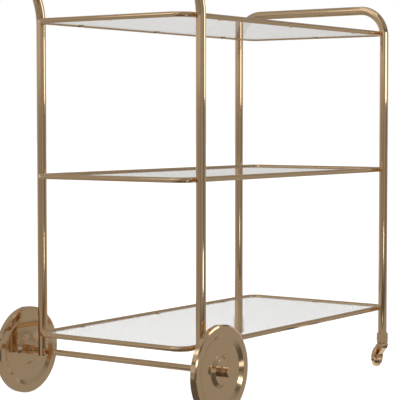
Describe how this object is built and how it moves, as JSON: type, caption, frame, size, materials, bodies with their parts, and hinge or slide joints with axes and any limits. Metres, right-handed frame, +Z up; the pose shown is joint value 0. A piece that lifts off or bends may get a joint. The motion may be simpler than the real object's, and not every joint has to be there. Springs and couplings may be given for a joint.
{
  "type": "bar cart",
  "caption": "Rolling bar cart: two bent-tube end frames carry glass shelves in round-bar rails, with big disc wheels at the push end and swivel casters at the other.",
  "frame": {"origin": "on the floor, at the centre of the footprint", "axes": "+Z up, +X from the push end with the big wheels to the caster end, +Y to the left when pushing"},
  "size_m": [1.0184, 0.6052, 1.0282],
  "materials": {
    "brass_tube": "polished pale brass plating on tube",
    "brass": "polished pale brass plating",
    "brass_turned": "turned and polished pale brass",
    "clear_glass": "clear tempered glass, polished edges",
    "clear_pad": "clear silicone bumper",
    "bush_plastic": "natural acetal",
    "black_plastic": "satin black",
    "dark_steel": "blackened"
  },
  "bodies": {
    "cart_frame": {"push_frame": "brass_tube", "caster_frame": "brass_tube", "rail_bottom": "brass_tube", "brazing_bottom": "brass_tube", "glass_tabs_bottom": "brass", "glass_pads_bottom": "clear_pad", "glass_bottom": "clear_glass", "rail_middle": "brass_tube", "brazing_middle": "brass_tube", "glass_tabs_middle": "brass", "glass_pads_middle": "clear_pad", "glass_middle": "clear_glass", "rail_top": "brass_tube", "brazing_top": "brass_tube", "glass_tabs_top": "brass", "glass_pads_top": "clear_pad", "glass_top": "clear_glass", "axle": "brass", "axle_ferrules": "brass", "leg_plugs": "black_plastic", "stop_collars": "brass", "collar_screws": "dark_steel", "cap_nuts": "brass", "caster_sockets": "brass", "stem_bushes": "bush_plastic", "thrust_washers": "bush_plastic"},
    "wheel_left": {"wheel_left_disc": "brass_turned", "wheel_left_bush": "bush_plastic"},
    "wheel_right": {"wheel_right_disc": "brass_turned", "wheel_right_bush": "bush_plastic"},
    "caster_left_swivel": {"caster_left_fork": "brass", "caster_left_stem": "brass", "caster_left_ring": "dark_steel", "caster_left_pin": "brass"},
    "caster_left_roller": {"caster_left_wheel": "brass_turned", "caster_left_bush": "bush_plastic"},
    "caster_right_swivel": {"caster_right_fork": "brass", "caster_right_stem": "brass", "caster_right_ring": "dark_steel", "caster_right_pin": "brass"},
    "caster_right_roller": {"caster_right_wheel": "brass_turned", "caster_right_bush": "bush_plastic"}
  },
  "joints": [
    {"name": "wheel_left_spin", "type": "hinge", "parent": "cart_frame", "child": "wheel_left", "pos_m": [-0.36582, 0.2749, 0.1015], "axis": [0, 1, 0], "continuous": true},
    {"name": "wheel_right_spin", "type": "hinge", "parent": "cart_frame", "child": "wheel_right", "pos_m": [-0.36582, -0.2749, 0.1015], "axis": [0, 1, 0], "continuous": true},
    {"name": "caster_left_turn", "type": "hinge", "parent": "cart_frame", "child": "caster_left_swivel", "pos_m": [0.46218, 0.226, 0.058], "axis": [0, 0, 1], "continuous": true},
    {"name": "caster_left_spin", "type": "hinge", "parent": "caster_left_swivel", "child": "caster_left_roller", "pos_m": [0.43418, 0.226, 0.026], "axis": [0, 1, 0], "continuous": true},
    {"name": "caster_right_turn", "type": "hinge", "parent": "cart_frame", "child": "caster_right_swivel", "pos_m": [0.46218, -0.226, 0.058], "axis": [0, 0, 1], "continuous": true},
    {"name": "caster_right_spin", "type": "hinge", "parent": "caster_right_swivel", "child": "caster_right_roller", "pos_m": [0.43418, -0.226, 0.026], "axis": [0, 1, 0], "continuous": true}
  ]
}
